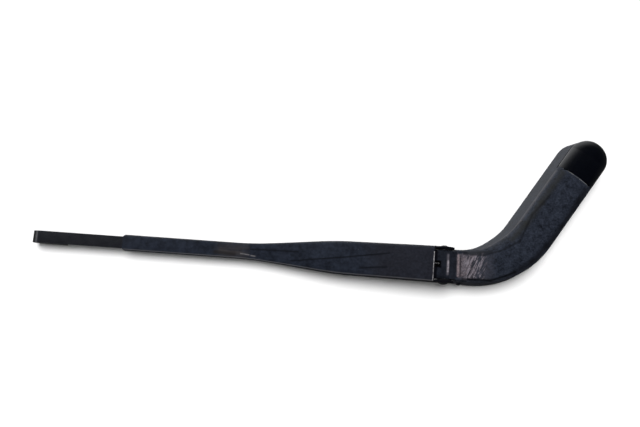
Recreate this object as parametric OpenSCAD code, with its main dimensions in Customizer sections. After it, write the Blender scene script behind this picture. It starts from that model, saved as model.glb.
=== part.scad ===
// Rear wiper arm with a cranked cast head, a folded channel, a flat hook bar
// and a tension spring that acts past the hinge through a C-shaped link.
// Frame: origin on the spindle axis at the base plane, +Z up along the
// spindle, the arm lies along -X at a constant Y. Millimetres.

/* [Layout] */
// Distance along X from the spindle to the arm's hinge
hinge_x = 105; // [100:1:115]
// Distance along Y from the spindle to the arm's centreline
arm_y = 87.5; // [84:0.5:95]
// Height of the hinge axis above the base plane
hinge_z = 17; // [16:0.25:19]
// Angle between the arm and the head's spindle leg
leg_angle = 57; // [52:1:60]
// Radius of the head's bend, on its centreline
bend_r = 58; // [50:1:62]

/* [Mounting head] */
// Width of the head at shoulder height near the hinge
head_w_hinge = 23.2; // [22.6:0.1:24]
// Width of the head at shoulder height along the spindle leg
head_w_leg = 28.8; // [27.6:0.1:30.5]
// Height of the top face near the hinge
head_top_hinge = 23.6; // [23:0.1:24]
// Height of the top face along the spindle leg
head_top_leg = 26.4; // [25.8:0.1:28]
// Rise of the crown in the middle of the top face
crown_rise = 0.6; // [0.3:0.1:1]
// Width of the sloping shoulder beside the top face, in plan
shoulder_w = 5.4; // [4.5:0.1:6]
// Height of the sloping shoulder
shoulder_h = 4.4; // [3.8:0.1:4.8]
// How round the shoulder is, from 0 (a plain chamfer) to 1 (a quarter ellipse)
shoulder_round = 0.45; // [0.3:0.05:0.8]
// Draft of the side walls, in degrees
wall_draft = 6.8; // [5.8:0.2:7.8]
// Thickness of the side walls
head_wall = 2.8; // [2.4:0.1:3.2]
// Thickness of the roof
roof_t = 3.2; // [2.6:0.1:4]
// Height of the rim at the hinge end, where the underside rises
rim_rise = 7; // [5:0.5:8]
// Length over which the rim comes down to the base plane
rim_run = 40; // [32:1:48]
// Gap between the hinge ears and the head's front face
front_gap = 0.9; // [0.8:0.1:1.4]
// Thickness of the ribs in the underside
rib_t = 1.8; // [1.4:0.1:2.4]
// Depth of the ribs below the roof
rib_depth = 7; // [4:0.5:10]

/* [Spindle seat] */
// Diameter of the pilot bore at the foot of the spindle boss
pilot_d = 12.4; // [12:0.1:13]
// Length of the pilot bore
pilot_len = 3; // [2:0.5:4]
// Diameter of the threaded end's hole above the taper
stud_hole_d = 8.2; // [8.1:0.1:8.6]
// Length of the threaded end's hole
stud_hole_len = 4; // [3:0.5:5]
// Outer diameter of the spindle boss
boss_d = 18.6; // [17.4:0.2:19.6]
// Height of the nut seat above the base plane
nut_seat_z = 15; // [14:0.25:15.5]
// Diameter of the raised nut seat
nut_seat_d = 17; // [15:0.5:18]
// Thickness of the deck that carries the boss
deck_t = 3; // [2.4:0.1:4]

/* [Hinge] */
// Diameter of the hinge rivet's shank
rivet_d = 5; // [4.6:0.1:5.2]
// Diameter of the rivet's domed heads
rivet_head_d = 8; // [7:0.2:9]
// Height of the rivet's domed heads
rivet_head_h = 1.5; // [1.2:0.1:1.6]
// Width of the head's knuckle across its two cheeks
knuckle_w = 20.8; // [20:0.1:21.2]
// Radius of the knuckle around the hinge axis
knuckle_r = 7.2; // [6.6:0.1:7.4]
// Width of the slot in the knuckle for the link
link_slot_w = 3.8; // [3.6:0.1:4.4]
// Thickness of the bush flange beside each cheek
flange_t = 1.2; // [1:0.05:1.3]
// Diameter of the bush flange
flange_d = 12.4; // [11:0.2:13]
// Outer diameter of the bush barrel
bush_d = 7.4; // [7:0.1:8]
// Length of the bush barrel inside its cheek
bush_len = 6; // [5:0.25:6.5]
// Radial running clearance of the hinge
run_gap = 0.05; // [0.03:0.01:0.08]
// Side clearance between the bush flange and the ear
side_gap = 0.1; // [0.05:0.05:0.2]

/* [Head cap] */
// Distance from the spindle axis to the seam across the head
cap_seam = 18; // [17:0.25:20]
// Height of the seam along the head's sides
cap_seam_z = 19.8; // [19.4:0.1:20]
// Thickness of the cap
cap_t = 1.8; // [1.6:0.1:2.2]
// Width of the seam gap around the cap
cap_gap = 0.2; // [0.15:0.05:0.3]
// Distance of the cap's pivot below the top face and behind the seam
cap_pivot = 3.2; // [3:0.05:3.3]
// Diameter of the cap's pivot pins
cap_pin_d = 2.4; // [2.2:0.1:2.6]
// Distance of each pivot ear from the cap's middle
cap_ear_y = 7.4; // [6.5:0.1:8]
// Thickness of each pivot ear
cap_ear_t = 2.4; // [2:0.1:2.8]

/* [Arm channel] */
// Sheet thickness of the channel
sheet = 1.5; // [1.4:0.05:1.6]
// Height of the channel's top face at the hinge end
channel_top = 27; // [26.6:0.1:28]
// Distance from the hinge axis to the end of the channel's top face
top_setback = 8.5; // [8:0.1:9.5]
// Radius of the ears around the hinge axis
ear_r = 7.6; // [7:0.1:7.8]
// Outer radius of the long bends
fold_r = 2.8; // [2.2:0.1:3.2]
// Distance from the hinge axis to the wide end of the flare
flare_end = 67; // [60:1:80]
// Distance from the hinge axis to the narrow end of the flare
flare_start = 155; // [140:1:165]
// Distance from the hinge axis to the crimped end of the channel
crimp_end = 242.2; // [236:0.1:246]
// Width lost from the hinge end to the wide end of the flare
side_taper = 1.2; // [0.6:0.1:1.6]
// Length of each lip folded under the bar
lip_w = 3.4; // [2.4:0.1:4]
// Clearance between the bar and the crimped channel
crimp_gap = 0.04; // [0.02:0.01:0.08]

/* [Hook bar] */
// Width of the bar
bar_w = 9; // [8.6:0.1:9.4]
// Thickness of the bar
bar_t = 3; // [2.8:0.1:3.2]
// Distance from the hinge axis to the outside of the hook
tip_reach = 313.2; // [300:0.1:326]
// Height of the hook over its outside faces
hook_h = 13.5; // [13:0.1:14]
// Length of the hook's return leg behind the bend's centre
hook_leg = 17; // [12:0.5:24]
// Diameter of the spring's hole in the bar
bar_hole_d = 3.2; // [3.1:0.05:3.4]
// Length of bar behind the spring's hole
bar_tail = 4.4; // [4:0.1:4.6]

/* [Spring and link] */
// Distance from the hinge axis to the spring's hole in the bar
anchor_reach = 80; // [76:1:84]
// Distance from the hinge axis to the link pin, towards the head
pin_reach = 12.4; // [12:0.1:12.8]
// Diameter of the link pin
pin_d = 3.2; // [3:0.1:3.4]
// Diameter of the link pin's head
pin_head_d = 4.4; // [4:0.1:4.8]
// Height of the link pin's head
pin_head_h = 1.6; // [1.2:0.1:1.8]
// Length of the link between its two holes
link_len = 27; // [26:0.25:30]
// Width of the link's strap
link_w = 2.8; // [2.4:0.1:2.9]
// Thickness of the link
link_t = 3.2; // [2.8:0.1:3.4]
// Diameter of the spring's hole in the link
link_hole_d = 3.4; // [3.3:0.05:3.6]
// Outer diameter of the spring coil
coil_d = 9; // [8.4:0.1:9.2]
// Diameter of the spring wire
wire_d = 1.8; // [1.6:0.1:1.8]
// Number of turns in the coil
coil_turns = 24; // [20:1:24]

/* [Hidden] */

$fn = 48;
eps = 0.01;
big = 200;
black = [0.10, 0.11, 0.13];
jet = [0.05, 0.05, 0.06];
steel = [0.55, 0.56, 0.58];
resin = [0.09, 0.09, 0.09];

function smooth(f) = let (g = min(1, max(0, f))) g * g * (3 - 2 * g);
function mix(a, b, f) = a + (b - a) * f;

// Places along the arm, all from the hinge axis
front_x = -hinge_x + ear_r + front_gap;
pin_x = -hinge_x + pin_reach;
top_end_x = -hinge_x - top_setback;
anchor_x = -hinge_x - anchor_reach;
crimp_x = -hinge_x - crimp_end;
tip_x = -hinge_x - tip_reach;
line_z = hook_h - bar_t / 2;

// Widths across the hinge, from the knuckle outwards
ear_in = knuckle_w / 2 + flange_t + side_gap;
ear_out = ear_in + sheet;

// The head's centreline: straight, then an arc, then the spindle leg
tangent = bend_r * tan(leg_angle / 2);
bend_x = -arm_y / tan(leg_angle) - tangent;
bend_len = bend_r * leg_angle * PI / 180;
front_len = bend_x - front_x;
leg_len = arm_y / sin(leg_angle) - tangent;
width_run = front_len + bend_len * 0.72;
draft = tan(wall_draft);

function turn_at(s) = min(leg_angle, max(0, (s - front_len) / bend_r * 180 / PI));
function path_at(s) = s < front_len
    ? [front_x + s, -arm_y]
    : let (a = turn_at(s), past = max(0, s - front_len - bend_len))
        [bend_x + bend_r * sin(a) + past * cos(a),
         -arm_y + bend_r * (1 - cos(a)) + past * sin(a)];
function half_w(s) = mix(head_w_hinge, head_w_leg, smooth(s / width_run)) / 2;
function top_z(s) = mix(head_top_hinge, head_top_leg, smooth(s / (front_len + bend_len)));
function rim_z(s) = rim_rise * (1 - smooth(s / rim_run));

// One side of the head's section, from the rim up to the middle of the crown
// shoulder_round mixes a quarter ellipse (1) with a plain chamfer (0)
function shoulder(w, z) = [for (a = [0:22.5:90])
    [w - shoulder_w * mix(a / 90, 1 - cos(a), shoulder_round),
     z - shoulder_h * mix(1 - a / 90, 1 - sin(a), shoulder_round)]];
function crown(w, z) = [for (f = [0.34, 0.67, 1])
    [(w - shoulder_w) * (1 - f), z + crown_rise * (1 - (1 - f) * (1 - f))]];
function side(w, z, base) = concat(
    [[w + draft * (z - shoulder_h - base), base]], shoulder(w, z), crown(w, z));
function mirrored(half) = concat(half,
    [for (i = [len(half) - 2:-1:0]) [-half[i][0], half[i][1]]]);
function head_section(w, z, base) = mirrored(side(w, z, base));
function inner_w(w, z, at) = w - head_wall + draft * (z - shoulder_h - at);
function pocket_section(w, z, base) = let (
        brow = z - shoulder_h - 1,
        half = [[inner_w(w, z, base - 1), base - 1], [inner_w(w, z, brow), brow],
                [w - shoulder_w, z - roof_t]])
    concat(half, [for (i = [2:-1:0]) [-half[i][0], half[i][1]]]);

// A loft through rings of equal length, closed at both ends
module loft(rings) {
    n = len(rings[0]);
    m = len(rings);
    polyhedron(
        points = [for (r = rings) for (p = r) p],
        faces = concat(
            [[for (i = [0:n - 1]) i]],
            [for (k = [0:m - 2]) for (i = [0:n - 1])
                [k * n + i, k * n + n + i, k * n + n + (i + 1) % n, k * n + (i + 1) % n]],
            [[for (i = [n - 1:-1:0]) (m - 1) * n + i]]));
}

// A section [across, up] set square to the head's path at distance s
function placed(section, s) = let (p = path_at(s), a = turn_at(s))
    [for (q = section) [p[0] - sin(a) * q[0], p[1] + cos(a) * q[0], q[1]]];

// Frame of the spindle leg: +X runs from the spindle towards the bend
module leg_frame() { rotate([0, 0, leg_angle + 180]) children(); }

// A section extruded along the spindle leg from distance a to distance b
module leg_bar(section, a, b) {
    leg_frame() translate([a, 0, 0]) rotate([90, 0, 90])
        linear_extrude(b - a) polygon(section);
}

// Half of a section turned about the spindle axis
module leg_end(half) {
    rotate_extrude($fn = 96) polygon(half);
}

stations = concat([for (k = [0:3]) k * front_len / 4],
    [for (k = [0:14]) front_len + k * bend_len / 14]);
path_len = front_len + bend_len + leg_len;
leg_w = head_w_leg / 2;
end_step = 0.02;

// Cap pivot, in the spindle leg's frame
pivot_u = cap_seam - cap_pivot;
pivot_z = head_top_leg + crown_rise - cap_pivot;
cap_low = cap_seam_z + cap_gap;
cap_hub = cap_pin_d / 2 + 0.9;
cap_side_gap = 0.3;

module head_solid() {
    loft([for (s = concat(stations, [path_len]))
        placed(head_section(half_w(s), top_z(s), rim_z(s)), s)]);
    leg_end(concat(side(leg_w - end_step, head_top_leg - end_step, 0), [[0, 0]]));
}

well_r = leg_w - head_wall;
well_back = pivot_u - 2.6;
pocket_start = cap_seam + cap_gap + 4;
deck_z = nut_seat_z - 1;

module head_pocket() {
    loft([for (s = concat(stations, [path_len - pocket_start]))
        placed(pocket_section(half_w(s), top_z(s), rim_z(s)), s)]);
}

// Space below the deck, around the spindle boss, a little narrower than the pocket
module boss_pocket() {
    under = deck_z - deck_t;
    inset = 0.4;
    half = [[inner_w(leg_w, head_top_leg, -1) - inset, -1],
            [inner_w(leg_w, head_top_leg, under) - inset, under]];
    leg_bar(concat(half, [[-half[1][0], under], [-half[0][0], -1]]),
            0, pocket_start + 2);
    leg_end([[0, -1], half[0] - [end_step, 0], half[1] - [end_step, 0], [0, under]]);
}

function arc(c, r, from, to, steps) = [for (k = [0:steps])
    c + r * [cos(mix(from, to, k / steps)), sin(mix(from, to, k / steps))]];

// The open well above the deck, where the spindle nut is reached
module nut_well() {
    leg_frame() translate([0, 0, deck_z]) linear_extrude(big)
        polygon(concat([[well_back, -well_r], [well_back, well_r]],
            arc([0, 0], well_r, 90, 270, 36)));
}

// A side view in the spindle leg's frame, [along, up], as wide as given
module across_leg(points, wide) {
    leg_frame() translate([0, wide / 2, 0]) rotate([90, 0, 0])
        linear_extrude(wide) polygon(points);
}

// What the cap fills, with its seam gap: open at the end, round below the pivot
module cap_room() {
    pivot = [pivot_u, pivot_z];
    back_r = pivot_z - cap_seam_z;
    back_u = cap_pivot + cap_gap;
    across_leg(concat([[-big, big], [-big, cap_seam_z]],
        arc(pivot, back_r, -90, -acos(back_u / back_r), 8),
        [[pivot_u + back_u, big]]), big);
    across_leg(arc(pivot, cap_pivot * sqrt(2) + cap_gap, 0, 350, 35),
        2 * (well_r - cap_side_gap));
}

// Two ears on the deck with snap slots, in which the cap's pin turns
module cap_ears() {
    foot_z = deck_z - 1;
    mouth = cap_pin_d * 0.72;
    leg_frame() for (y = [-cap_ear_y, cap_ear_y]) difference() {
        union() {
            translate([pivot_u, y, pivot_z]) rotate([90, 0, 0])
                cylinder(h = cap_ear_t, r = cap_hub, center = true);
            translate([pivot_u - cap_pin_d / 2, y - cap_ear_t / 2, foot_z])
                cube([cap_pin_d, cap_ear_t, pivot_z - foot_z]);
        }
        translate([pivot_u, y, pivot_z]) rotate([90, 0, 0])
            cylinder(h = big, r = cap_pin_d / 2 + run_gap, center = true);
        translate([pivot_u - mouth / 2, y - big / 2, pivot_z])
            cube([mouth, big, big]);
    }
}

// A narrow flat across the head's front edge, a little below the crown
land_len = 2.3;
land_drop = 0.5;
module front_land() {
    translate([front_x - 1, -arm_y - big / 2, head_top_hinge - land_drop])
        cube([land_len + 1, big, big]);
}

// The knuckle between the ears: a flat top that runs forward under the channel's
// roof, a ridge across it, and a step down to the head behind
knuckle_back = front_x + 8;
ridge_x = 1.9;
ridge_r = 1.1;
ridge_sunk = 0.6;
valley = 1.4;
cheek_reach = 8.8;
cheek_round = 0.6;
cheek_h = 3.6;
function knuckle_side() = let (
        back = knuckle_back + hinge_x,
        low = rim_rise - hinge_z,
        step = knuckle_r - valley)
    concat([[back, low], [back, step], [ridge_x + ridge_r + 0.2, step]],
        arc([ridge_x, knuckle_r - ridge_sunk], ridge_r, 0, 147, 6),
        [[cheek_round - cheek_reach, knuckle_r], [-cheek_reach, knuckle_r - cheek_round],
         [-cheek_reach, knuckle_r - cheek_h]],
        arc([0, 0], knuckle_r, 180, 250, 8), [[1.5, low]]);

// Its end view: the top edges are chamfered, as the head's shoulders are
edge_w = 1.8;
edge_h = 1.2;
function knuckle_end() = let (w = knuckle_w / 2, z = hinge_z + knuckle_r, low = rim_rise - 1)
    let (slope = edge_w / edge_h, peak = edge_h + ridge_r)
    [[w, low], [w, z - edge_h], [w - slope * peak, z - edge_h + peak],
     [slope * peak - w, z - edge_h + peak], [-w, z - edge_h], [-w, low]];

module knuckle() {
    intersection() {
        translate([-hinge_x, -arm_y + knuckle_w / 2, hinge_z]) rotate([90, 0, 0])
            linear_extrude(knuckle_w) polygon(knuckle_side());
        translate([-hinge_x - big / 2, -arm_y, 0]) rotate([90, 0, 90])
            linear_extrude(big) polygon(knuckle_end());
    }
}

// Slot for the link: below the knuckle's roof, and open in front of it
link_slot_open = 3.6;
module link_slot() {
    roof = hinge_z + knuckle_r - roof_t;
    front = -hinge_x - link_slot_open;
    back = knuckle_back + 0.6;
    translate([0, -arm_y + link_slot_w / 2, 0]) rotate([90, 0, 0])
        linear_extrude(link_slot_w)
            polygon([[-big, -1], [back, -1], [back, roof], [front, roof],
                     [front, big], [-big, big]]);
}

// Socket for the spindle: pilot bore, taper for its serrations, hole for its stud
module spindle_bore() {
    taper_top = nut_seat_z - stud_hole_len;
    wide = pilot_d - 0.5;
    narrow = stud_hole_d + 1.2;
    translate([0, 0, -1]) cylinder(h = pilot_len + 1, d = pilot_d, $fn = 96);
    translate([0, 0, pilot_len - eps])
        cylinder(h = taper_top - pilot_len + 2 * eps, d1 = wide, d2 = narrow, $fn = 96);
    translate([0, 0, taper_top]) cylinder(h = big, d = stud_hole_d, $fn = 96);
}

// Cross ribs under the roof, as shares of the bend and of the leg
bend_ribs = [0.3, 0.72];
leg_ribs = [0.2, 0.5];
// Webs round the boss start this far above the rim
web_foot = 2;
module head_ribs() {
    for (s = concat([for (f = bend_ribs) front_len + bend_len * f],
            [for (f = leg_ribs) front_len + bend_len + leg_len * f]))
        translate([path_at(s)[0], path_at(s)[1], 0]) rotate([0, 0, turn_at(s)])
            translate([-rib_t / 2, -half_w(s) + head_wall / 2, top_z(s) - roof_t - rib_depth])
                cube([rib_t, 2 * half_w(s) - head_wall, rib_depth + 1]);
    leg_frame() for (a = [0, 90, -90, 180]) rotate([0, 0, a])
        translate([pilot_d / 2 + 1, -rib_t / 2, web_foot])
            cube([well_r - pilot_d / 2 + 1.2, rib_t, deck_z - web_foot - 1]);
}

bore_room = 0.2;
module mounting_head() {
    color(black) difference() {
        union() {
            difference() {
                head_solid();
                head_pocket();
                boss_pocket();
                nut_well();
                cap_room();
                front_land();
            }
            knuckle();
            head_ribs();
            cap_ears();
            cylinder(h = deck_z, d = boss_d, $fn = 96);
            cylinder(h = nut_seat_z, d = nut_seat_d, $fn = 96);
        }
        spindle_bore();
        link_slot();
        for (t = [-1, 1]) translate([-hinge_x, -arm_y + t * knuckle_w / 2, hinge_z])
            rotate([90, 0, 0])
                cylinder(h = 2 * (bush_len + bore_room), d = bush_d, center = true);
        translate([-hinge_x, -arm_y, hinge_z]) rotate([90, 0, 0])
            cylinder(h = big, d = rivet_d + 3 * bore_room, center = true);
        translate([pin_x, -arm_y, line_z]) rotate([90, 0, 0])
            cylinder(h = big, d = pin_d, center = true);
    }
}

// The cap's outer form: the end of the head above the side seam
module cap_form(inset) {
    leg_bar(head_section(leg_w - inset, head_top_leg - inset, 0), 0, cap_seam);
    inner = inset + end_step;
    leg_end(concat(side(leg_w - inner, head_top_leg - inner, 0), [[0, 0]]));
}

module head_cap() {
    bar_back = 0.4;
    bar_front = 6;
    room = well_r - cap_side_gap - 0.1;
    color(jet) {
        difference() {
            cap_form(0);
            translate([-big / 2, -big / 2, cap_low - big]) cube([big, big, big]);
            difference() {
                cap_form(cap_t);
                leg_frame() translate([pivot_u - cap_hub - bar_back, -big / 2, 0])
                    cube([big, big, big]);
            }
            // Below the pivot the cap's rear is round, so that it can turn
            leg_frame() difference() {
                translate([pivot_u, -big / 2, pivot_z - big]) cube([big, big, big]);
                translate([pivot_u, 0, pivot_z]) rotate([90, 0, 0])
                    cylinder(h = big, r = pivot_z - cap_low, center = true);
            }
            leg_frame() translate([pivot_u - bar_front, -room, pivot_z - cap_hub - big])
                cube([big, 2 * room, big]);
            for (y = [-cap_ear_y, cap_ear_y]) cap_notch(y);
        }
        leg_frame() translate([pivot_u, 0, pivot_z]) rotate([90, 0, 0])
            cylinder(h = 2 * cap_ear_y + cap_ear_t + 2, d = cap_pin_d, center = true);
    }
}

// A notch in which one pivot ear stands while the cap turns
module cap_notch(y) {
    turn_gap = 0.25;
    room = cap_ear_t + 2 * turn_gap;
    reach = cap_pin_d / 2 + 0.3;
    leg_frame() translate([pivot_u, y, pivot_z]) {
        rotate([90, 0, 0]) cylinder(h = room, r = cap_hub + turn_gap, center = true);
        translate([-reach, -room / 2, reach - big]) cube([big, room, big]);
    }
}

// A bush with its flange, pressed into one cheek; side is 1 or -1
module hinge_bush(side) {
    color(resin) translate([-hinge_x, -arm_y + side * knuckle_w / 2, hinge_z])
        rotate([side * -90, 0, 0]) difference() {
            union() {
                cylinder(h = flange_t, d = flange_d);
                translate([0, 0, -bush_len]) cylinder(h = bush_len, d = bush_d);
            }
            cylinder(h = big, d = rivet_d + 2 * run_gap, center = true);
        }
}
module hinge_bush_near() { hinge_bush(-1); }
module hinge_bush_far() { hinge_bush(1); }

function dome(r, h) = let (c = (r * r - h * h) / (2 * h), b = c + h)
    concat([[0, 0]], [for (k = [0:6]) let (a = acos(c / b) * (1 - k / 6))
        [b * sin(a), b * cos(a) - c]]);
module dome_head(d, h) { rotate_extrude() polygon(dome(d / 2, h)); }

module hinge_rivet() {
    color(black) translate([-hinge_x, -arm_y, hinge_z]) rotate([90, 0, 0]) {
        cylinder(h = 2 * ear_out, d = rivet_d, center = true);
        translate([0, 0, ear_out]) dome_head(rivet_head_d, rivet_head_h);
        rotate([180, 0, 0]) translate([0, 0, ear_out]) dome_head(rivet_head_d, rivet_head_h);
    }
}

pin_s = pin_x - front_x;
pin_wall = half_w(pin_s) + draft * (top_z(pin_s) - shoulder_h - line_z);

module link_pin() {
    short = 0.6;
    proud = 0.2;
    color(steel) translate([pin_x, -arm_y, line_z]) rotate([90, 0, 0]) {
        translate([0, 0, short - pin_wall])
            cylinder(h = 2 * pin_wall - short + proud, d = pin_d);
        translate([0, 0, pin_wall + proud]) dome_head(pin_head_d, pin_head_h);
    }
}

// Channel, as a function of the distance d from the hinge axis
crimp_half = bar_w / 2 + crimp_gap + sheet;
crimp_top = line_z + bar_t / 2 + crimp_gap + sheet;
crimp_under = line_z - bar_t / 2 - crimp_gap;
ear_run = top_setback + 5;
wide_half = ear_out - side_taper / 2;
level_end = flare_start + 10;
tight_fold = sheet + 0.4;
crimp_corner = 2;
function channel_half(d) = d < flare_end
    ? mix(ear_out, wide_half, max(0, d - ear_run) / (flare_end - ear_run))
    : mix(crimp_half, wide_half, smooth((flare_start - d) / (flare_start - flare_end)));
function channel_z(d) = mix(crimp_top, channel_top, smooth(1 - d / level_end));
function channel_low(d) = mix(hinge_z - ear_r, crimp_under, smooth(d / flare_start));
function channel_fold(d) = mix(fold_r, tight_fold, smooth((d - flare_end) / (flare_start - flare_end)));

function fold_pts(w, z, low, r) = concat([[w, low]],
    [for (a = [0:22.5:90]) [w - r + r * cos(a), z - r + r * sin(a)]]);
function over(half) = concat(half, [for (i = [len(half) - 1:-1:0]) [-half[i][0], half[i][1]]]);
function channel_ring(d) = let (w = channel_half(d), z = channel_z(d), r = channel_fold(d),
        low = channel_low(d),
        out = over(fold_pts(w, z, low, r)),
        inn = over(fold_pts(w - sheet, z - sheet, low, r - sheet)))
    [for (q = concat(out, [for (i = [len(inn) - 1:-1:0]) inn[i]]))
        [-hinge_x - d, -arm_y - q[0], q[1]]];

// A loft through open U sections, each listed out along the outside and back inside
module loft_sheet(rings) {
    n = len(rings[0]);
    h = n / 2;
    m = len(rings);
    last = (m - 1) * n;
    polyhedron(
        points = [for (r = rings) for (p = r) p],
        faces = concat(
            [for (i = [0:h - 2]) [i, i + 1, n - 2 - i, n - 1 - i]],
            [for (k = [0:m - 2]) for (i = [0:n - 1])
                [k * n + i, k * n + n + i, k * n + n + (i + 1) % n, k * n + (i + 1) % n]],
            [for (i = [0:h - 2])
                [last + n - 1 - i, last + n - 2 - i, last + i + 1, last + i]]));
}

channel_stops = concat([top_setback], [for (k = [0:3]) mix(ear_run, flare_end, k / 4)],
    [for (k = [0:13]) mix(flare_end, flare_start, k / 13)], [level_end, crimp_end]);

module ear() {
    linear_extrude(sheet) {
        circle(ear_r);
        polygon([[0, -ear_r], [0, ear_r], [-top_setback - 1, channel_top - fold_r - hinge_z],
                 [-ear_run, channel_top - fold_r - hinge_z - 1],
                 [-ear_run, channel_low(ear_run) - hinge_z], [-top_setback, -ear_r]]);
    }
}

// One lip folded under the bar, with its round outer corner
module lip() {
    turn = [for (a = [0:15:90]) [crimp_half - sheet + sheet * cos(a), -sheet * sin(a)]];
    translate([-hinge_x - crimp_end, -arm_y, crimp_under]) rotate([90, 0, 90])
        linear_extrude(crimp_end - level_end + 2)
            polygon(concat(turn, [[crimp_half - lip_w, -sheet], [crimp_half - lip_w, 0]]));
}

module arm_channel() {
    color(black) difference() {
        union() {
            loft_sheet([for (d = channel_stops) channel_ring(d)]);
            for (y = [ear_out, -ear_in]) translate([-hinge_x, -arm_y + y, hinge_z])
                rotate([90, 0, 0]) ear();
            lip();
            translate([0, -2 * arm_y, 0]) mirror([0, 1, 0]) lip();
        }
        translate([-hinge_x, -arm_y, hinge_z]) rotate([90, 0, 0])
            cylinder(h = big, d = rivet_d, center = true);
        for (t = [-1, 1]) translate([crimp_x, -arm_y + t * crimp_half, 0]) rotate([0, 0, 45])
            cube([crimp_corner, crimp_corner, big], center = true);
    }
}

hook_out = hook_h / 2;
hook_in = hook_out - bar_t;
bend_mid = tip_x + hook_out;

module wiper_bar() {
    color(black) difference() {
        translate([0, -arm_y - bar_w / 2, 0]) {
            translate([bend_mid, 0, hook_h - bar_t])
                cube([anchor_x + bar_tail - bend_mid, bar_w, bar_t]);
            translate([bend_mid, 0, 0]) cube([hook_leg, bar_w, bar_t]);
            translate([bend_mid, 0, hook_out]) rotate([-90, 0, 0])
                rotate_extrude_half() translate([hook_in, 0]) square([bar_t, bar_w]);
        }
        translate([anchor_x, -arm_y, 0]) cylinder(h = big, d = bar_hole_d);
    }
}
module rotate_extrude_half() { rotate([0, 0, 90]) rotate_extrude(angle = 180, $fn = 64) children(); }

// Link: a C that passes under the hinge rivet from the pin to the spring
bow_half = pin_reach - 0.9;
bow_rise = 1.4;
pin_eye = pin_d / 2 + 1.8;
spring_eye = link_hole_d / 2 + 1.6;
bow_r = norm([bow_half, bow_rise]);
link_x = pin_x - link_len;

module spring_link() {
    color(steel) translate([pin_x, -arm_y + link_t / 2, line_z]) rotate([90, 0, 0])
        linear_extrude(link_t) difference() {
            union() {
                difference() {
                    translate([-bow_half, bow_rise]) circle(bow_r + link_w / 2, $fn = 96);
                    translate([-bow_half, bow_rise]) circle(bow_r - link_w / 2, $fn = 96);
                    translate([-big / 2, 0]) square([big, big]);
                }
                circle(pin_eye);
                translate([-link_len, 0]) circle(spring_eye);
                translate([-link_len, -link_w / 2])
                    square([link_len - 2 * bow_half + link_w / 2, link_w]);
            }
            circle(pin_d / 2 + run_gap);
            translate([-link_len, 0]) circle(link_hole_d / 2);
        }
}

// Spring: its wire runs from the bar's hole, round the coil, to the link's hole
coil_r = (coil_d - wire_d) / 2;
loop_gap = wire_d * 0.9;
hook_a = anchor_x + 0.25;
hook_b = link_x - 0.3;
coil_a = hook_a + 2 * coil_r + loop_gap;
coil_b = hook_b - 2 * coil_r - loop_gap;
turn_steps = 12;
coil_steps = coil_turns * turn_steps + turn_steps / 4;
wire_path = concat(
    [for (a = [-140:20:90])
        [hook_a + coil_r * (1 - cos(a)), 0, coil_r * sin(a)]],
    [for (k = [0:coil_steps]) let (a = 360 * k / turn_steps)
        [mix(coil_a, coil_b, k / coil_steps), coil_r * sin(a), coil_r * cos(a)]],
    [for (a = [90:-20:-140])
        [hook_b - coil_r * (1 - cos(a)), coil_r * sin(a), 0]]);

function unit(v) = v / norm(v);
function along(path, i) = unit(path[min(len(path) - 1, i + 1)] - path[max(0, i - 1)]);
function square_to(v, t) = unit(v - (v * t) * t);

module wire(path, r, sides) {
    frames = [for (i = 0, v = square_to([0, 1, 0.2], along(path, 0)); i < len(path);
        i = i + 1, v = square_to(v, along(path, min(i, len(path) - 1)))) v];
    loft([for (i = [0:len(path) - 1]) let (t = along(path, i), u = frames[i], w = cross(t, u))
        [for (k = [0:sides - 1]) path[i]
            + r * (cos(360 * k / sides) * u + sin(360 * k / sides) * w)]]);
}

module tension_spring() {
    color(steel) translate([0, -arm_y, line_z]) wire(wire_path, wire_d / 2, 6);
}

mounting_head();
head_cap();
link_pin();
hinge_bush_near();
hinge_bush_far();
arm_channel();
wiper_bar();
hinge_rivet();
spring_link();
tension_spring();
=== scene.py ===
"""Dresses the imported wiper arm: sprayed and worn surfaces, rounded edges, floor, light, camera."""

import math

import bmesh
import bpy
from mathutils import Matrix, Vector


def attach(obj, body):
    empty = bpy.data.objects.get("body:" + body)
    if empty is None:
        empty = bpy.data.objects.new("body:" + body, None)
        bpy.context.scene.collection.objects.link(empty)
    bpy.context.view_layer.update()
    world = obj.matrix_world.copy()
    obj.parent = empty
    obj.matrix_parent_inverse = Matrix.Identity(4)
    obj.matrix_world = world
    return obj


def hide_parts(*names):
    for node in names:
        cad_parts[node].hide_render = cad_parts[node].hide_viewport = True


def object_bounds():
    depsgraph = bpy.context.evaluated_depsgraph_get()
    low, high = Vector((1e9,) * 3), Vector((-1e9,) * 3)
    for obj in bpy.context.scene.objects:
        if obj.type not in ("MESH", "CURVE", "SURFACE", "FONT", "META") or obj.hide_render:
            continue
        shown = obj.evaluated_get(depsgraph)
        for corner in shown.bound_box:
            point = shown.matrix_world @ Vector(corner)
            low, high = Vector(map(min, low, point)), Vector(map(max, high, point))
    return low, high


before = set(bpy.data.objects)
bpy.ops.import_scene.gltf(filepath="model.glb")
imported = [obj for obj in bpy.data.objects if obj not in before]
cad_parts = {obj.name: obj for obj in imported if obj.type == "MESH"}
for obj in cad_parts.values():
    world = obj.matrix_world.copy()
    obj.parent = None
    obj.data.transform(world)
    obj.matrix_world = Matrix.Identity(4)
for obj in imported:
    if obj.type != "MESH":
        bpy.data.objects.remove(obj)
cad_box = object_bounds()


# Mounting head: one zinc die casting, cranked sideways between the hinge and the
# spindle and hollow underneath. It leaves the die with rounded edges and is then
# sprayed satin black; hands have scuffed the paint beside the hinge.
mm = 0.001  # in metres, which Blender works in


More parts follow.
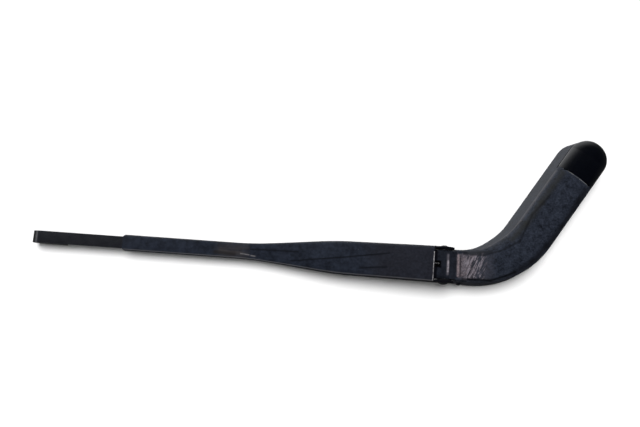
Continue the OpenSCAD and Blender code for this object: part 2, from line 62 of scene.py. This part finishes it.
def softened(node, name, sharp_angle, edge_radius):
    """A welded, smooth-shaded copy of a CAD node with its sharp edges rounded."""
    weld, sliver, nearly_flat = 0.003 * mm, 0.004 * mm, math.radians(0.6)
    form = bmesh.new()
    form.from_mesh(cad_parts[node].data)
    bmesh.ops.remove_doubles(form, verts=form.verts, dist=weld)
    bmesh.ops.dissolve_degenerate(form, edges=form.edges, dist=sliver)
    bmesh.ops.dissolve_limit(form, angle_limit=nearly_flat, verts=form.verts, edges=form.edges)
    if edge_radius > 0:
        sharp = [
            edge
            for edge in form.edges
            if len(edge.link_faces) == 2 and edge.calc_face_angle() > math.radians(sharp_angle)
        ]
        bmesh.ops.bevel(
            form,
            geom=sharp,
            offset=edge_radius,
            offset_type="OFFSET",
            affect="EDGES",
            segments=2,
            profile=0.5,
            material=-1,
            clamp_overlap=True,
        )
    for face in form.faces:
        face.smooth = True
    mesh = bpy.data.meshes.new(name)
    form.to_mesh(mesh)
    form.free()
    mesh.set_sharp_from_angle(angle=math.radians(sharp_angle))
    piece = bpy.data.objects.new(name, mesh)
    bpy.context.scene.collection.objects.link(piece)
    return piece


def feed(tree, value, target):
    """Gives a socket its value: another socket, a number, a vector or a colour."""
    if isinstance(value, bpy.types.NodeSocket):
        tree.links.new(value, target)
    else:
        target.default_value = value


def add(tree, kind, inputs=(), **settings):
    """Adds a shader node; inputs is a dictionary from a socket's name or number to its value."""
    node = tree.nodes.new("ShaderNode" + kind)
    for name, value in settings.items():
        setattr(node, name, value)
    for socket, value in dict(inputs).items():
        feed(tree, value, node.inputs[socket])
    return node


def number_math(tree, operation, a, b):
    return add(tree, "Math", {0: a, 1: b}, operation=operation).outputs["Value"]


def vector_math(tree, operation, *values, result="Vector"):
    node = add(tree, "VectorMath", enumerate(values), operation=operation)
    return node.outputs[result]


def ranged(tree, value, low, high, at_low=0.0, at_high=1.0, curve="LINEAR"):
    """Stretches value from low and high to at_low and at_high, and holds it there beyond."""
    inputs = {
        "Value": value,
        "From Min": low,
        "From Max": high,
        "To Min": at_low,
        "To Max": at_high,
    }
    return add(tree, "MapRange", inputs, interpolation_type=curve).outputs["Result"]


def noise(tree, scale, detail, roughness=0.5, place=None):
    """Cloudy noise over the piece; scale is in spots to the metre."""
    if place is None:
        place = add(tree, "TexCoord").outputs["Object"]
    inputs = {"Vector": place, "Scale": scale, "Detail": detail, "Roughness": roughness}
    return add(tree, "TexNoise", inputs).outputs["Fac"]


def mixed(tree, below, above, share):
    return add(tree, "Mix", {"A": below, "B": above, "Factor": share}).outputs["Result"]


def painted_over(tree, below, above, mask):
    inputs = {"A": below, "B": above, "Factor": mask}
    return add(tree, "Mix", inputs, data_type="RGBA").outputs["Result"]


def new_group(name, inputs, outputs):
    """A node group with named sockets: the group, its input sockets and its output sockets."""
    group = bpy.data.node_groups.new(name, "ShaderNodeTree")
    for label, kind, default in inputs:
        socket = group.interface.new_socket(label, in_out="INPUT", socket_type="NodeSocket" + kind)
        socket.default_value = default
    for label, kind in outputs:
        group.interface.new_socket(label, in_out="OUTPUT", socket_type="NodeSocket" + kind)
    given = group.nodes.new("NodeGroupInput").outputs
    put_out = group.nodes.new("NodeGroupOutput").inputs
    return group, given, put_out


def sprayed_paint_group():
    """Sprayed paint: a cloudy, grainy colour, a few dust specks and a fine orange peel."""
    group, given, put_out = new_group(
        "Sprayed paint",
        (
            ("Paint", "Color", (0.02, 0.02, 0.024, 1)),
            ("Cloud", "Color", (0.03, 0.032, 0.04, 1)),
            ("Cloud size", "Float", 120.0),
            ("Grain size", "Float", 900.0),
            ("Specks", "Float", 0.4),
            ("Gloss low", "Float", 0.42),
            ("Gloss high", "Float", 0.55),
        ),
        (("Colour", "Color"), ("Roughness", "Float"), ("Height", "Float")),
    )
    specks_per_metre, peel_per_metre, grain_share = 1500, 900, 0.42
    dust_colour = (0.16, 0.17, 0.19, 1)
    cloud = noise(group, given["Cloud size"], 6, 0.72)
    grain = noise(group, given["Grain size"], 4)
    clouds, grains = ranged(group, cloud, 0.36, 0.68), ranged(group, grain, 0.38, 0.62)
    mottled = mixed(group, clouds, grains, grain_share)
    colour = painted_over(group, given["Paint"], given["Cloud"], mottled)
    specks = ranged(group, noise(group, specks_per_metre, 2), 0.70, 0.78)
    specks = number_math(group, "MULTIPLY", specks, given["Specks"])
    feed(group, painted_over(group, colour, dust_colour, specks), put_out["Colour"])
    gloss = ranged(group, cloud, 0, 1, given["Gloss low"], given["Gloss high"])
    feed(group, gloss, put_out["Roughness"])
    feed(group, noise(group, peel_per_metre, 3), put_out["Height"])
    return group


def local_patch_group():
    """1 inside a soft-edged box in the part's frame, 0 outside; noise breaks its outline."""
    group, given, put_out = new_group(
        "Local patch",
        (
            ("Centre", "Vector", (0, 0, 0)),
            ("Half size", "Vector", (0.01, 0.01, 0.01)),
            ("Fade", "Float", 0.002),
            ("Ragged", "Float", 0.003),
        ),
        (("Mask", "Float"),),
    )
    notches_per_metre = 260
    place = add(group, "TexCoord").outputs["Object"]
    offset = vector_math(group, "SUBTRACT", place, given["Centre"])
    reach = vector_math(group, "ABSOLUTE", offset)
    past = vector_math(group, "SUBTRACT", reach, given["Half size"])
    axes = add(group, "SeparateXYZ", {"Vector": past}).outputs
    furthest = number_math(group, "MAXIMUM", axes["Y"], axes["Z"])
    furthest = number_math(group, "MAXIMUM", axes["X"], furthest)
    swing = number_math(group, "SUBTRACT", noise(group, notches_per_metre, 4), 0.5)
    swing = number_math(group, "MULTIPLY", swing, given["Ragged"])
    edge = number_math(group, "ADD", furthest, swing)
    feed(group, ranged(group, edge, 0, given["Fade"], 1, 0), put_out["Mask"])
    return group


def scored_line_group():
    """1 on a straight line seen from above, falling smoothly to 0 at a distance of Width."""
    group, given, put_out = new_group(
        "Scored line",
        (
            ("From", "Vector", (0, 0, 0)),
            ("To", "Vector", (0.01, 0, 0)),
            ("Width", "Float", 0.001),
        ),
        (("Line", "Float"),),
    )
    seen_from_above = (1, 1, 0)
    place = add(group, "TexCoord").outputs["Object"]
    past = vector_math(group, "SUBTRACT", place, given["From"])
    past = vector_math(group, "MULTIPLY", past, seen_from_above)
    run = vector_math(group, "SUBTRACT", given["To"], given["From"])
    run = vector_math(group, "MULTIPLY", run, seen_from_above)
    way = vector_math(group, "NORMALIZE", run)
    along = vector_math(group, "DOT_PRODUCT", past, way, result="Value")
    length = vector_math(group, "LENGTH", run, result="Value")
    along = add(group, "Clamp", {"Value": along, "Max": length}).outputs["Result"]
    foot = add(group, "VectorMath", {0: way, "Scale": along}, operation="SCALE").outputs["Vector"]
    off = vector_math(group, "DISTANCE", past, foot, result="Value")
    feed(group, ranged(group, off, 0, given["Width"], 1, 0, "SMOOTHSTEP"), put_out["Line"])
    return group


sprayed_paint = sprayed_paint_group()
local_patch = local_patch_group()
scored_line = scored_line_group()


class Finish:
    """A material with one Principled shader, whose colour is laid on in layers."""

    def __init__(self, name):
        self.material = bpy.data.materials.new(name)
        self.material.use_nodes = True
        self.tree = self.material.node_tree
        self.shader = self.tree.nodes["Principled BSDF"]

    def set(self, **values):
        for name, value in values.items():
            self.shader.inputs[name.replace("_", " ")].default_value = value

    def placed(self, group, inputs):
        node = self.tree.nodes.new("ShaderNodeGroup")
        node.node_tree = group
        for name, value in inputs.items():
            node.inputs[name].default_value = value
        return node.outputs

    def spray(self, paint, cloud, cloud_size, specks, gloss, grain_size=900.0):
        """The first coat; the sizes are in spots to the metre, gloss is a span of roughness."""
        coat = self.placed(
            sprayed_paint,
            {
                "Paint": (*paint, 1),
                "Cloud": (*cloud, 1),
                "Cloud size": cloud_size,
                "Grain size": grain_size,
                "Specks": specks,
                "Gloss low": gloss[0],
                "Gloss high": gloss[1],
            },
        )
        self.colour, self.rough, self.height = coat["Colour"], coat["Roughness"], coat["Height"]

    def patch(self, low, high, fade, ragged=0):
        """A mask over the box from low to high; all four are in millimetres."""
        inputs = {
            "Centre": [(a + b) / 2 * mm for a, b in zip(low, high)],
            "Half size": [(b - a) / 2 * mm for a, b in zip(low, high)],
            "Fade": fade * mm,
            "Ragged": ragged * mm,
        }
        return self.placed(local_patch, inputs)["Mask"]

    def above(self, height, fade):
        """A mask over all of the arm above a height; both are in millimetres."""
        (low_x, low_y, _), (high_x, high_y, high_z) = cad_box
        low = (low_x / mm, low_y / mm, height)
        high = (high_x / mm, high_y / mm, high_z / mm)
        return self.patch(low, high, fade)

    def line(self, start, end, width):
        """A mask on a line seen from above; all three are in millimetres."""
        inputs = {
            "From": (start[0] * mm, start[1] * mm, 0),
            "To": (end[0] * mm, end[1] * mm, 0),
            "Width": width * mm,
        }
        return self.placed(scored_line, inputs)["Line"]

    def grains(self, scale, low, high):
        """A mask of fine irregular spots."""
        return ranged(self.tree, noise(self.tree, scale, 4, 0.6), low, high)

    def streaks(self, turn, scale, low, high, stretch):
        """A mask of long thin marks: noise drawn out along one direction, in degrees from +X."""
        place = add(self.tree, "TexCoord").outputs["Object"]
        inputs = {
            "Vector": place,
            "Rotation": (0, 0, math.radians(turn)),
            "Scale": (stretch, 1, 1),
        }
        drawn = add(self.tree, "Mapping", inputs, vector_type="TEXTURE").outputs["Vector"]
        return ranged(self.tree, noise(self.tree, scale, 5, 0.7, drawn), low, high)

    def overlap(self, first, *others):
        """Masks and shares multiplied together."""
        for other in others:
            first = number_math(self.tree, "MULTIPLY", first, other)
        return first

    def lay(self, shade, *masks):
        """One more layer of colour, as far as all its masks and shares let it show."""
        self.colour = painted_over(self.tree, self.colour, (*shade, 1), self.overlap(*masks))

    def roughen(self, roughness, mask):
        self.rough = mixed(self.tree, self.rough, roughness, mask)

    def done(self, peel_depth):
        """Joins the layers to the shader, with an orange peel of the given depth in metres."""
        self.tree.links.new(self.colour, self.shader.inputs["Base Color"])
        self.tree.links.new(self.rough, self.shader.inputs["Roughness"])
        peel = add(self.tree, "Bump", {"Height": self.height, "Distance": peel_depth})
        self.tree.links.new(peel.outputs["Normal"], self.shader.inputs["Normal"])
        return self.material


def steps(course):
    """The straight steps of a course of points."""
    return zip(course, course[1:])


def painted_casting():
    finish = Finish("Sprayed casting")
    finish.set(IOR=1.36)
    finish.spray(
        paint=(0.0030, 0.0038, 0.0060),
        cloud=(0.0245, 0.0295, 0.0430),
        cloud_size=190.0,
        specks=0.30,
        gloss=(0.56, 0.70),
    )
    top_side = finish.above(22.6, 0.4)

    # painted shade darkens the knuckle and the hollow beside it; hands have greyed the paint and
    # keys have scratched it, beside the hinge
    knuckle_shade = finish.patch((-111.6, -98, 8), (-97.4, -76, 30), 0.9, 1.5)
    hazed = finish.patch((-88, -95, 20), (-74, -81, 30), 6, 8)
    scuffed = finish.patch((-94, -95.0, 20), (-84.5, -80.5, 30), 2.5, 4)
    worn = finish.overlap(top_side, scuffed, finish.grains(950, 0.30, 0.66))
    scratched = finish.overlap(top_side, finish.patch((-88, -95.2, 20), (-80, -81, 30), 6, 7))
    # painted shade over the knuckle beside the hinge
    finish.lay((0.0050, 0.0056, 0.0080), knuckle_shade, 0.6)
    finish.lay((0.085, 0.078, 0.092), top_side, hazed, 0.15)
    finish.lay((0.106, 0.088, 0.097), worn)
    finish.lay((0.014, 0.015, 0.020), scratched, finish.streaks(64, 480, 0.48, 0.55, 6))
    finish.lay((0.145, 0.131, 0.150), scratched, finish.streaks(67, 760, 0.50, 0.60, 7))
    finish.roughen(0.62, worn)

    # the front edge of the casting is rubbed bare, with painted shade in the step beside it, and the
    # knuckle's ridge carries a painted highlight
    fine_wear, ridge_highlight_grains = finish.grains(1100, 0.20, 0.62), finish.grains(420, 0.20, 0.55)
    for start, end, width, shade, share in (
        ((-95.5, -80.0), (-95.5, -95.0), 1.5, (0.175, 0.140, 0.150), fine_wear),
        # painted shade in the step behind the front band
        ((-93.9, -80.0), (-93.9, -95.4), 0.55, (0.006, 0.006, 0.008), 0.80),
        # painted highlight along the knuckle's ridge, in two strokes
        ((-103.3, -80.5), (-103.3, -94.5), 1.5, (0.190, 0.175, 0.200), 0.30),
        ((-103.1, -85.0), (-103.3, -92.5), 1.1, (0.235, 0.215, 0.240), ridge_highlight_grains),
    ):
        finish.lay(shade, finish.line(start, end, width), top_side, share)

    # dust has settled along the seam of the cap
    seam = finish.line((-20.2, -9.0), (-1.6, -21.7), 0.6)
    crown = finish.above(24.9, 0.3)
    finish.lay((0.085, 0.087, 0.090), seam, finish.grains(420, 0.38, 0.60), crown)

    # painted highlight along the inner rim, and painted shade along the shoulder and the folds of
    # the roof
    rim_height, roof_height = finish.above(20.5, 1.5), finish.above(19.8, 1.0)
    rim_highlight = ((-24.0, -10.6), (-39.7, -34.7), (-50.0, -50.7))
    rim_highlight += ((-60.0, -62.5), (-71.7, -70.9), (-80.0, -74.6))
    shoulder_shade = ((-20.5, -12.8), (-36.3, -37.0), (-46.6, -53.0), (-57.0, -65.9))
    inner_fold_shade = ((-29.6, -30.4), (-42.9, -46.4), (-51.6, -66.9))
    inner_fold_shade += ((-65.7, -74.9), (-77.1, -78.8), (-90.7, -78.7))
    near_fold_shade = ((-92, -97.2), (-82.3, -97.0), (-71.0, -96.8), (-60.5, -92.8), (-54.0, -89.4))
    outer_fold_shade = ((-54.0, -89.4), (-41.8, -80.6), (-31.9, -69.0))
    outer_fold_shade += ((-19.8, -53.0), (-8.6, -33.7), (-3.4, -25.5))
    front_shoulder_shade = ((-92.0, -77.0), (-80.0, -77.0), (-72.0, -75.6))
    for course, width, shade, share, height in (
        # painted highlight on the inner rim
        (rim_highlight, 1.1, (0.080, 0.078, 0.084), 0.38, rim_height),
        # painted shade on the shoulder, along the folds and on the front shoulder
        (shoulder_shade, 3.6, (0.0120, 0.0125, 0.0120), 0.70, roof_height),
        (inner_fold_shade, 1.3, (0.0035, 0.0040, 0.0055), 0.70, roof_height),
        (near_fold_shade, 1.3, (0.0012, 0.0014, 0.0022), 0.90, roof_height),
        (outer_fold_shade, 4.0, (0.0030, 0.0032, 0.0045), 0.65, roof_height),
        (front_shoulder_shade, 2.6, (0.0050, 0.0058, 0.0080), 0.80, roof_height),
    ):
        for start, end in steps(course):
            finish.lay(shade, finish.line(start, end, width), height, share)

    # painted shade fills the hinge gap, the link's slot and the seam under the cap
    for gap_shade in (
        finish.patch((-118, -104, 8), (-111.6, -72, 30), 0.7, 0.5),
        finish.patch((-114, -90.0, 2), (-108.4, -85.0, 30), 0.3),
        finish.patch((-22.5, -40, 18.8), (30, 30, 20.2), 0.2),
    ):
        # painted shade in each gap
        finish.lay((0.0012, 0.0012, 0.0020), gap_shade, 0.9)
        finish.roughen(1.0, gap_shade)
    return finish.done(peel_depth=0.04 * mm)


head = softened("mounting_head", "cast_head", sharp_angle=20, edge_radius=0.3 * mm)
head.data.materials.append(painted_casting())
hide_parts("mounting_head")
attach(head, "head")

# Cap over the spindle nut: moulded in jet black plastic with a fine even grain,
# glossier than the casting. It clips on two pins and closes flush with the head.
def moulded_plastic():
    finish = Finish("Moulded cap plastic")
    finish.set(IOR=1.50)
    finish.spray(
        paint=(0.0006, 0.0008, 0.0016),
        cloud=(0.0014, 0.0018, 0.0034),
        cloud_size=300.0,
        specks=0.05,
        gloss=(0.34, 0.42),
    )
    return finish.done(peel_depth=0.03 * mm)


cap = softened("head_cap", "nut_cap", sharp_angle=32, edge_radius=0.15 * mm)
cap.data.materials.append(moulded_plastic())
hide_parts("head_cap")
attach(cap, "cap")


# Channel: one blank of 1.5 mm steel sheet, folded over a former with rounded
# folds, flared to the ears and crimped round the bar, then sprayed satin black.
# The sheared end of its roof shows bare, and the crimp has marked the paint.
def painted_sheet():
    finish = Finish("Sprayed sheet")
    finish.set(IOR=1.38)
    finish.spray(
        paint=(0.0040, 0.0049, 0.0078),
        cloud=(0.0158, 0.0198, 0.0302),
        cloud_size=130.0,
        specks=0.30,
        gloss=(0.50, 0.62),
        grain_size=560.0,
    )

    # the narrow part is rubbed, with a darker streak and two bright flecks beside it
    rub = finish.patch((-272, -92.5, 14), (-256, -85.5, 30), 6, 7)
    finish.lay((0.034, 0.030, 0.030), rub, finish.streaks(-4, 240, 0.35, 0.70, 14))
    finish.lay((0.0100, 0.0088, 0.0088), finish.line((-277, -89.8), (-262, -90.4), 2.4), 0.7)
    for start, end in (((-257.4, -89.6), (-251.0, -90.3)), ((-249.4, -90.7), (-246.4, -91.0))):
        fleck = finish.line(start, end, 0.75)
        finish.lay((0.100, 0.096, 0.100), fleck, finish.grains(420, 0.20, 0.50))

    # the paint is duller towards the ears
    dull_end = finish.patch((-150, -101, 14), (-112, -77, 30), 18, 10)
    finish.lay((0.0185, 0.0182, 0.0230), dull_end, 0.45)
    finish.lay((0.0050, 0.0053, 0.0078), dull_end, finish.grains(700, 0.34, 0.78))

    # painted shade marks three shallow creases that folding has left in the roof
    for course in (
        ((-219, -92.6), (-180, -87.4), (-147, -82.3)),
        ((-250, -86.0), (-232, -85.6), (-214, -85.6)),
        ((-168, -94.7), (-160, -93.6), (-148, -92.6)),
    ):
        for start, end in steps(course):
            # painted shade along each crease
            finish.lay((0.0028, 0.0033, 0.0050), finish.line(start, end, 1.0), 0.90)

    # painted highlight along the near fold, and painted shade on the wall below it, which is darker
    # than the roof
    near_wall = ((-346, -93.5), (-260, -93.5), (-246.5, -94.0), (-219.4, -96.4))
    near_wall += ((-199.1, -98.6), (-185.5, -99.7), (-172, -100.1), (-113, -100.8))
    fold_in, wall_out = 0.9, 0.35
    for start, end in steps(near_wall):
        fold_highlight = finish.line((start[0], start[1] + fold_in), (end[0], end[1] + fold_in), 0.6)
        wall_shade = finish.line((start[0], start[1] - wall_out), (end[0], end[1] - wall_out), 0.85)
        # painted highlight on the fold, painted shade on the wall
        finish.lay((0.066, 0.066, 0.072), fold_highlight, 0.85)
        finish.lay((0.0028, 0.0031, 0.0042), wall_shade)
        finish.roughen(0.85, wall_shade)

    # painted shade round the hinge, and the bare sheared end of the roof
    hinge_shade = finish.patch((-113.9, -106, 0), (-90, -70, 30), 0.2, 0.3)
    # painted shade round the hinge
    finish.lay((0.0015, 0.0015, 0.0025), hinge_shade, 0.85)
    for start, end, share in (
        ((-114.1, -79.0), (-114.3, -88), 0.95),
        ((-114.3, -88), (-114.5, -100), 0.6),
    ):
        sheared = finish.line(start, end, 0.5)
        finish.lay((0.30, 0.29, 0.30), sheared, finish.grains(420, 0.30, 0.50), share)
    return finish.done(peel_depth=0.03 * mm)


channel = softened("arm_channel", "folded_channel", sharp_angle=32, edge_radius=0.22 * mm)
channel.data.materials.append(painted_sheet())
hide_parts("arm_channel")
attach(channel, "arm")


# Bar: spring steel strip, 9 by 3 mm, hot-bent into the hook that carries the
# blade and dipped in a neutral black paint, with a painted highlight where the bend begins and
# painted shade over the outer bend.
def dipped_bar():
    finish = Finish("Dipped bar")
    finish.spray(
        paint=(0.0045, 0.0049, 0.0068),
        cloud=(0.0140, 0.0145, 0.0175),
        cloud_size=160.0,
        specks=0.25,
        gloss=(0.38, 0.50),
    )
    # painted highlight where the bend begins, and painted shade over the outer bend
    bend_highlight = finish.line((-413.2, -83.4), (-413.2, -91.6), 0.9)
    outer_bend_shade = finish.patch((-420, -95, 0), (-414.9, -80, 20), 0.7)
    finish.lay((0.075, 0.074, 0.080), bend_highlight, finish.grains(500, 0.25, 0.60))
    finish.lay((0.0012, 0.0012, 0.0018), outer_bend_shade, 0.9)
    finish.roughen(0.95, outer_bend_shade)
    return finish.done(peel_depth=0.03 * mm)


bar_paint = dipped_bar()
bar = softened("wiper_bar", "hook_bar", sharp_angle=32, edge_radius=0.35 * mm)
bar.data.materials.append(bar_paint)
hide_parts("wiper_bar")
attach(bar, "arm")


# Rivet: mild steel, its domed heads closed cold over both ears before the arm is
# painted, so the paint covers it too.
rivet = softened("hinge_rivet", "hinge_pin", sharp_angle=32, edge_radius=0.15 * mm)
rivet.data.materials.append(bar_paint)
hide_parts("hinge_rivet")
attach(rivet, "arm")


# Link pin, link, spring and bushes: a painted pin, an oiled phosphated strap, a
# drawn spring wire dulled by grease, and black acetal bushes in the knuckle.
def coated_steel(name, colour, metal, smooth, rough):
    """A steel whose roughness wanders between two values."""
    blotches_per_metre = 400
    finish = Finish(name)
    finish.set(Base_Color=(*colour, 1), Metallic=metal)
    blotches = noise(finish.tree, blotches_per_metre, 4)
    wander = ranged(finish.tree, blotches, 0, 1, smooth, rough)
    feed(finish.tree, wander, finish.shader.inputs["Roughness"])
    return finish.material


def black_acetal():
    finish = Finish("Black acetal")
    finish.set(Base_Color=(0.006, 0.006, 0.007, 1))
    glossy_grain = finish.grains(600, 0.0, 2.2)
    feed(finish.tree, glossy_grain, finish.shader.inputs["Roughness"])
    return finish.material


greased_wire = coated_steel(
    "Greased spring wire", (0.22, 0.21, 0.20), metal=1.0, smooth=0.30, rough=0.50
)
dark_phosphate = coated_steel(
    "Phosphated strap", (0.009, 0.009, 0.010), metal=0.0, smooth=0.60, rough=0.80
)
bush_plastic = black_acetal()
for node, body, material, slot, edge_radius in (
    ("link_pin", "head", bar_paint, "zinc_steel", 0.2 * mm),
    ("spring_link", "link", dark_phosphate, "zinc_steel", 0.2 * mm),
    ("tension_spring", "spring", greased_wire, "spring_steel", 0),
    ("hinge_bush_near", "head", bush_plastic, "bush_resin", 0.12 * mm),
    ("hinge_bush_far", "head", bush_plastic, "bush_resin", 0.12 * mm),
):
    piece = softened(node, node + "_finished", sharp_angle=40, edge_radius=edge_radius)
    piece.data.materials.append(material)
    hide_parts(node)
    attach(piece, body)


# Floor: a seamless sheet of white paper, 6 m wide. It stays out of the gloss, as
# the lamps do.
half_width = 3.0
paper_mesh = bpy.data.meshes.new("paper")
sheet = bmesh.new()
bmesh.ops.create_grid(sheet, x_segments=1, y_segments=1, size=half_width)
sheet.to_mesh(paper_mesh)
sheet.free()
white_paper = Finish("White paper")
white_paper.set(Base_Color=(0.78, 0.78, 0.78, 1), Roughness=0.9)
paper_mesh.materials.append(white_paper.material)
paper = bpy.data.objects.new("paper", paper_mesh)
bpy.context.scene.collection.objects.link(paper)
paper.visible_glossy = False


# Light: a dim room, brightest low down at its far left, with a pale backdrop; a
# wide soft panel high above the arm, whose shadows fall towards the viewer; and
# a low fill on the near side.
world = bpy.data.worlds.new("studio")
world.use_nodes = True
room = world.node_tree
way = add(room, "TexCoord").outputs["Generated"]
window_side, room_glow, window_glow = (-0.75, 0.66, 0), 0.07, 1.7
aside = vector_math(room, "DOT_PRODUCT", way, window_side, result="Value")
across = ranged(room, aside, 0.05, 0.65, room_glow, window_glow)
height = add(room, "SeparateXYZ", {"Vector": way}).outputs["Z"]
overhead = add(room, "ValToRGB", {"Fac": ranged(room, height, -1, 1)})
levels = overhead.color_ramp.elements
levels[0].color = (0.75, 0.75, 0.75, 1)
levels[1].position, levels[1].color = 0.92, (0.02, 0.02, 0.02, 1)
for position, level in ((0.20, 0.80), (0.45, 1.0), (0.56, 0.85), (0.66, 0.35), (0.80, 0.10)):
    levels.new(position).color = (level, level, level, 1)
dim_room = room.nodes["Background"]
dim_room.inputs["Color"].default_value = (0.97, 0.98, 1.0, 1)
strength = number_math(room, "MULTIPLY", across, overhead.outputs["Color"])
feed(room, strength, dim_room.inputs["Strength"])
backdrop = add(room, "Background", {"Color": (0.97, 0.97, 0.97, 1)})
seen = add(room, "LightPath").outputs["Is Camera Ray"]
either = add(room, "MixShader", {0: seen, 1: dim_room.outputs[0], 2: backdrop.outputs[0]})
feed(room, either.outputs[0], room.nodes["World Output"].inputs["Surface"])
bpy.context.scene.world = world
bpy.context.scene.view_settings.view_transform = "Standard"

panel = bpy.data.lights.new("sky_panel", "SUN")
panel.angle = math.radians(33)
panel.energy = 4.3
sky_panel = bpy.data.objects.new("sky_panel", panel)
sky_panel.rotation_euler = Vector((-0.08, 0.35, 1.20)).to_track_quat("Z", "Y").to_euler()
fill = bpy.data.lights.new("near_fill", "AREA")
fill.shape = "RECTANGLE"
fill.size, fill.size_y = 1.4, 0.25
fill.energy = 2.3
near_fill = bpy.data.objects.new("near_fill", fill)
near_fill.location = (-0.25, -0.90, 0.35)
middle_of_arm = Vector((-0.2, -0.05, 0.0))
fill_way = middle_of_arm - near_fill.location
near_fill.rotation_euler = fill_way.to_track_quat("-Z", "Y").to_euler()
for lamp in (sky_panel, near_fill):
    bpy.context.scene.collection.objects.link(lamp)
    lamp.visible_glossy = False


# Camera: a hand-held view from almost straight above, a little towards the
# near side, 460 mm from the middle of the arm.
azimuth, elevation, distance = math.radians(4.1), math.radians(81.6), 0.460
aim = Vector((-200.09, -52.82, 0)) * mm
view_from = Vector(
    (
        math.sin(azimuth) * math.cos(elevation),
        -math.cos(azimuth) * math.cos(elevation),
        math.sin(elevation),
    )
)
lens = bpy.data.cameras.new("camera")
lens.sensor_width = 36
lens.lens = 32.9
camera = bpy.data.objects.new("camera", lens)
bpy.context.scene.collection.objects.link(camera)
camera.location = aim + view_from * distance
camera.rotation_euler = (-view_from).to_track_quat("-Z", "Y").to_euler()
bpy.context.scene.camera = camera
